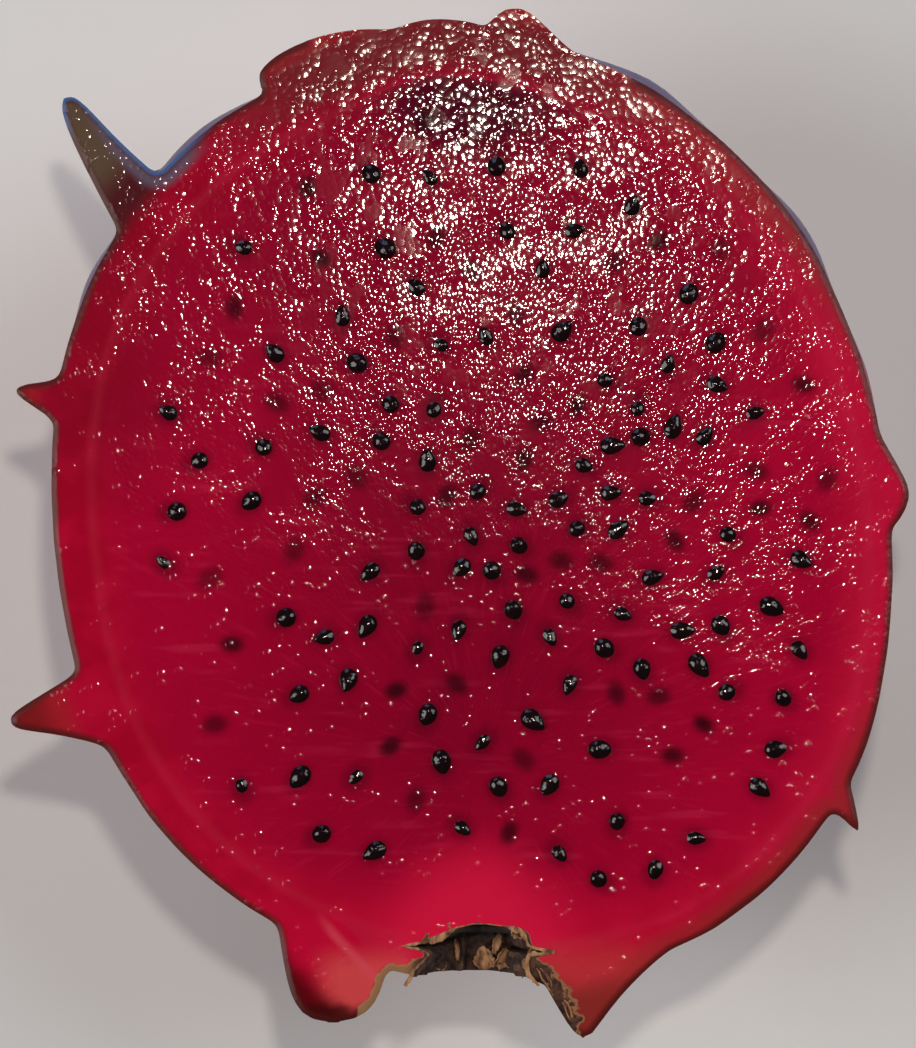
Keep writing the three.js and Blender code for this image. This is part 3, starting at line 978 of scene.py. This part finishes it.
def seed_tree(material):
    """Puts a seed at every point of its bed."""
    tree = bpy.data.node_groups.new("seeds in their bed", "GeometryNodeTree")
    tree.interface.new_socket("Bed", in_out="INPUT", socket_type="NodeSocketGeometry")
    for name in ("Width", "Length", "Thickness"):
        socket = tree.interface.new_socket(name, in_out="INPUT", socket_type="NodeSocketFloat")
        socket.subtype = "DISTANCE"
    tree.interface.new_socket("Seeds", in_out="OUTPUT", socket_type="NodeSocketGeometry")
    entry = tree.nodes.new("NodeGroupInput")
    bed, width, length, thickness = (Wire(tree, entry.outputs[i]) for i in range(4))
    ball = add(tree, "GeometryNodeMeshUVSphere", {}, {"Segments": 12, "Rings": 8, "Radius": 0.5})
    at = add(tree, "GeometryNodeInputPosition")
    x, y, z = (add(tree, "ShaderNodeSeparateXYZ", {}, {0: at}, output=i) for i in range(3))
    narrow = 1.0 - (z + 0.5) ** 2.0 * 0.55
    drop = add(tree, "ShaderNodeCombineXYZ", {},
               {"X": x * narrow * width, "Y": z * length, "Z": y * narrow * thickness})
    shaped = add(tree, "GeometryNodeSetPosition", {}, {"Geometry": ball, "Position": drop})
    named = {key: add(tree, "GeometryNodeInputNamedAttribute", {"data_type": "FLOAT"}, {"Name": key})
             for key in ("turn", "size", "lean")}
    euler = add(tree, "ShaderNodeCombineXYZ", {}, {"X": named["lean"], "Z": named["turn"]})
    placed = add(tree, "GeometryNodeInstanceOnPoints", {},
                 {"Points": bed, "Instance": shaped, "Rotation": euler, "Scale": named["size"]})
    real = add(tree, "GeometryNodeRealizeInstances", {}, {"Geometry": placed})
    smooth = add(tree, "GeometryNodeSetShadeSmooth", {}, {"Geometry": real})
    black = add(tree, "GeometryNodeSetMaterial", {}, {"Geometry": smooth, "Material": material})
    leave = tree.nodes.new("NodeGroupOutput")
    tree.links.new(black.socket, leave.inputs[0])
    return tree


def seed_material():
    material, tree = new_material("glossy black seed")
    here = place(tree)
    tint = blend(tree, here.speckle(0.9 * MM, detail=1), colour(8, 5, 7), colour(34, 12, 16))
    film = bumps(tree, here.speckle(0.5 * MM, detail=1) * 0.1)
    finish(tree, {"Base Color": tint, "Roughness": 0.1, "Normal": film, "Specular IOR Level": 0.6})
    return material


seed_bed = seed_points()
growth = seed_bed.modifiers.new("seeds", "NODES")
growth.node_group = seed_tree(seed_material())
items = growth.node_group.interface.items_tree
inputs = {item.name: item.identifier for item in items if item.in_out == "INPUT"}
for name, size in zip(("Width", "Length", "Thickness"), SEED_SIZE):
    growth[inputs[name]] = size
settle(seed_bed)
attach(seed_bed, "root")


# The dried flower.
# The foot of the old flower, now a thin brown papery cup that lines the pit. Stiff ribs stand on it, and
# its torn edges curl away in pale flakes.
LINING = 0.7 * MM
RIBS = 7


def lining_radius(shrink):
    """The cup's radius, a step inside the pit's wall. Its inner side has the ribs."""

    def radius(y, roll):
        wall = pit_radius(y, roll) - shrink
        phase = RIBS * roll + 1 + 0.5 * ripple(np.stack([y, y, y], -1), 3 * MM)
        rib = 0.6 * MM * np.maximum(0, np.cos(phase)) ** 8
        crease = 0.25 * MM * ripple(np.stack([np.cos(roll), y / (3 * MM), np.sin(roll)], -1), 0.22)
        inner = shrink > 0.3 * MM
        return np.maximum(0.05 * MM, wall - inner * (rib + crease))

    return radius


def dried_cup():
    """The lining as one wall, open at the cut and at its mouth."""
    outer_y = np.linspace(-40.35, -45.3, 70) * MM
    inner_y = np.linspace(-45.3, -41.0, 60) * MM
    around = 220
    roll = np.linspace(math.pi, 2 * math.pi, around)
    outer = [(y, lining_radius(0.06 * MM)) for y in outer_y]
    inner = [(y, lining_radius(0.06 * MM + LINING)) for y in inner_y]
    rings = []
    for y, radius_at in outer + inner:
        level = np.full(around, y)
        radius = radius_at(level, roll)
        rings.append(np.stack([PIT_X + radius * np.cos(roll), level, radius * np.sin(roll) + CUT], -1))
    first, last = rings[0].mean(0), rings[-1].mean(0)
    rings = [rings[0] * 0.02 + first * 0.98, *rings, rings[-1] * 0.02 + last * 0.98]
    count, faces = len(rings), []
    for row in range(count):
        start, after = row * around, (row + 1) % count * around
        for i in range(around - 1):
            faces.append((start + i, after + i, after + i + 1, start + i + 1))
    for i in (0, around - 1):
        side = [row * around + i for row in range(count)]
        faces.append(tuple(side) if i else tuple(side[::-1]))
    return make_mesh("dried_flower_cup", np.vstack(rings), faces)


def pit_edge(steps=240):
    """Even steps along the pit's edge in the cut, from its right side over the floor to its left."""
    y = np.linspace(-46.2, -40.12, 120) * MM
    right = np.stack([PIT_X + pit_radius(y, 0 * y), y], -1)
    left = np.stack([PIT_X - pit_radius(y, 0 * y + math.pi), y], -1)
    line = np.vstack([right, left[::-1]])
    run = np.concatenate([[0], np.cumsum(np.linalg.norm(np.diff(line, axis=0), axis=1))])
    even = np.linspace(0, run[-1], steps)
    return np.stack([np.interp(even, run, line[:, i]) for i in (0, 1)], -1)


# in millimetres, where the strip is wider or narrower: the spot, its spread and the extra width
TATTERS = [(-2.2, -41.1, 1.2, 0.7), (5.9, -40.6, 0.8, 0.8), (6.9, -44.2, 1.6, 0.5), (-4.4, -45.4, 1.0, 0.5),
           (2.4, -40.2, 2.2, -0.6)]
SHEET = 0.1 * MM


def torn_edge():
    """A thin curled strip along the pit's edge, wide where the tissue tore."""
    line = pit_edge()
    run = np.gradient(line, axis=0)
    inward = np.stack([-run[:, 1], run[:, 0]], -1) / np.linalg.norm(run, axis=1)[:, None]
    far = np.stack([line[:, 0], line[:, 1], 0 * line[:, 0]], -1)
    width = 0.14 + 0.3 * np.maximum(0, ripple(far, 0.9 * MM)) + 0.15 * np.abs(ripple(far, 0.3 * MM, 4.0))
    for x, y, spread, extra in TATTERS:
        off = np.hypot(line[:, 0] / MM - x, line[:, 1] / MM - y) / spread
        width += extra * np.exp(-(off**2)) * (0.7 + 0.5 * ripple(far, 0.5 * MM, 9.0))
    width = np.maximum(width, 0.06)
    rows = []
    for u in np.linspace(0, 1, 7):
        side = line + inward * ((width * u - 0.15) * MM)[:, None]
        height = (0.05 + 0.5 * width * u * (1 - 0.9 * u) + 0.12 * u * ripple(far, 0.7 * MM, 2.0)) * MM
        rows.append(np.column_stack([side, CUT + height]))
    return np.vstack(rows), woven(len(rows), len(line))


# where each scrap hangs and its size in millimetres, its turn and tilts in degrees, and how much it curls
SCRAPS = [
    {"at": (2.8, -44.0, -3.6), "size": (2.2, 2.2), "turn": 20, "tilt": (12, -10), "curl": 0.4},
    {"at": (4.7, -44.0, -3.4), "size": (2.0, 2.0), "turn": -24, "tilt": (12, 16), "curl": 0.5},
    {"at": (3.9, -42.3, -2.6), "size": (0.8, 2.6), "turn": -10, "tilt": (25, 0), "curl": 0.2},
    {"at": (-0.1, -43.0, -3.9), "size": (0.4, 2.6), "turn": 6, "tilt": (15, 0), "curl": 0.1},
    {"at": (-1.9, -44.3, -4.2), "size": (1.2, 1.6), "turn": 30, "tilt": (5, 20), "curl": 0.4},
    {"at": (-1.9, -41.0, -0.1), "size": (3.2, 1.3), "turn": 26, "tilt": (-8, 6), "curl": 0.5},
    {"at": (5.9, -40.9, -0.2), "size": (1.4, 1.2), "turn": -30, "tilt": (-12, 0), "curl": 0.5},
    {"at": (7.0, -43.6, -0.5), "size": (0.8, 3.4), "turn": -12, "tilt": (0, 35), "curl": 0.6},
    {"at": (8.7, -45.6, 0.0), "size": (0.6, 3.0), "turn": 30, "tilt": (0, 25), "curl": 0.5},
    {"at": (10.9, -48.6, 0.0), "size": (0.5, 2.6), "turn": 22, "tilt": (0, 20), "curl": 0.4},
]


def scrap(number, at, size, turn, tilt, curl, cells=16):
    """A ragged, curled sheet."""
    u, v = (side.ravel() for side in np.meshgrid(np.linspace(-1, 1, cells), np.linspace(-1, 1, cells)))
    around, out = np.arctan2(v, u), np.maximum(np.abs(u), np.abs(v))
    ring = np.stack([np.cos(around), np.sin(around), 0 * u + 3.7 * number], -1)
    ragged = 1 + 0.45 * ripple(ring, 0.7) + 0.25 * ripple(ring, 0.25)
    x, y = (0.5 * size[i] * MM * out * ragged * (np.cos(around), np.sin(around))[i] for i in (0, 1))
    folds = ripple(np.stack([x, y, 0 * x + number * MM], -1), 0.8 * MM)
    z = curl * MM * ((u * out) ** 2 - 0.3) + 0.16 * MM * folds
    turned_to = Euler((math.radians(tilt[0]), math.radians(tilt[1]), math.radians(turn))).to_matrix()
    points = np.stack([x, y, z], -1) @ np.array(turned_to).T + np.array(at) * MM + (0, 0, CUT)
    return points, woven(cells, cells)


def dried_scraps():
    """All the loose thin tissue, given its thickness."""
    sheets = [torn_edge()] + [scrap(number, **spec) for number, spec in enumerate(SCRAPS)]
    points, faces = [], []
    for sheet, corners in sheets:
        faces += [tuple(i + len(points) for i in face) for face in corners]
        points += sheet.tolist()
    made = make_mesh("dried_flower_scraps", np.array(points), faces)
    wall = made.modifiers.new("sheet", "SOLIDIFY")
    wall.thickness, wall.offset = SHEET, 0
    return settle(made)


def dried_material(name, dark, light, pale_share):
    """Papery tissue with fine fibres along the flower's axis."""
    material, tree = new_material(name)
    here = place(tree)
    streak = add(tree, "ShaderNodeMapping", {}, {"Vector": here, "Scale": (1, 0.35, 1)})
    fibre = streak.speckle(0.5 * MM, detail=4)
    pale = here.speckle(2.2 * MM, detail=3).band(0.57, 0.66)
    floor_shade = coordinate(tree, "Y").band(-42.5, -41.2)
    inside = (CUT / MM - coordinate(tree, "Z")).band(0, 0.8)
    brown = coats(
        tree, colour(*dark),
        (fibre.band(0.3, 0.7), light),
        (pale * pale_share, (158, 122, 88)),
        (floor_shade * inside * 0.85, (14, 8, 7)),
    )
    finish(tree, {"Base Color": brown, "Roughness": 0.8, "Normal": bumps(tree, fibre * 0.25)})
    return material


cup = dried_cup()
shape = bmesh.new()
shape.from_mesh(cup.data)
bmesh.ops.recalc_face_normals(shape, faces=shape.faces)
shape.to_mesh(cup.data)
shape.free()
cup.data.materials.append(dried_material("dried flower", (26, 14, 12), (84, 52, 40), 0.25))
scraps = dried_scraps()
scraps.data.materials.append(dried_material("torn dry tissue", (96, 56, 40), (194, 144, 100), 0.4))
shade_smooth(scraps)
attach(scraps, "root")
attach(cup, "root")
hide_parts("dried_flower")

for tool in (knife, pit_tool, collar_plug, pulp_form, under_table):
    bpy.data.objects.remove(tool)


# The table, the lights and the camera.
# A plain pale surface. One small lamp hangs near the camera and sparkles in the wet cut, and large soft
# ones stand to the sides. The camera looks straight down on the cut face.
FLOOR_SIZE = 3.0
CAMERA_HEIGHT = 350 * MM
CAMERA_LENS = 120.2


def floor_material():
    material, tree = new_material("pale table")
    shade = place(tree).speckle(0.3, detail=2)
    tint = blend(tree, shade, (0.84, 0.84, 0.84, 1), (0.88, 0.88, 0.875, 1))
    finish(tree, {"Base Color": tint, "Roughness": 0.6, "Specular IOR Level": 0.2})
    return material


half = FLOOR_SIZE / 2
corners = np.array([(-half, -half, 0), (half, -half, 0), (half, half, 0), (-half, half, 0)])
floor = make_mesh("table", corners, [(0, 1, 2, 3)])
floor.data.materials.append(floor_material())


def lamp(name, place_at, size, power, tint):
    light = bpy.data.lights.new(name, "AREA")
    light.shape, light.size, light.energy, light.color = "DISK", size, power, tint
    made = bpy.data.objects.new(name, light)
    made.location = place_at
    made.rotation_euler = (Vector((0, 0, CUT)) - Vector(place_at)).to_track_quat("-Z", "Y").to_euler()
    scene.collection.objects.link(made)


lamp("small lamp", (2 * SPARK_SPOT[0], 2 * SPARK_SPOT[1], CUT + CAMERA_HEIGHT), 0.018, 0.3, (1.0, 0.9, 0.76))
lamp("soft left", (-0.75, -0.1, 0.75), 0.7, 4.7, (1.0, 0.97, 0.94))
lamp("soft right", (0.7, 0.35, 0.8), 0.7, 3.8, (0.97, 0.98, 1.0))
lamp("window", (-0.25, 0.75, 0.26), 0.45, 0.8, (0.35, 0.6, 1.0))

world = bpy.data.worlds.new("room")
world.use_nodes = True
light = world.node_tree.nodes["Background"].inputs
light["Color"].default_value = (0.9, 0.95, 1.0, 1)
light["Strength"].default_value = 0.025
scene.world = world
scene.view_settings.view_transform = "Standard"

lens = bpy.data.cameras.new("camera")
lens.sensor_width, lens.lens, lens.clip_start, lens.clip_end = 36, CAMERA_LENS, 0.01, 10
camera = bpy.data.objects.new("camera", lens)
camera.location = (0, 0, CUT + CAMERA_HEIGHT)
scene.collection.objects.link(camera)
scene.camera = camera
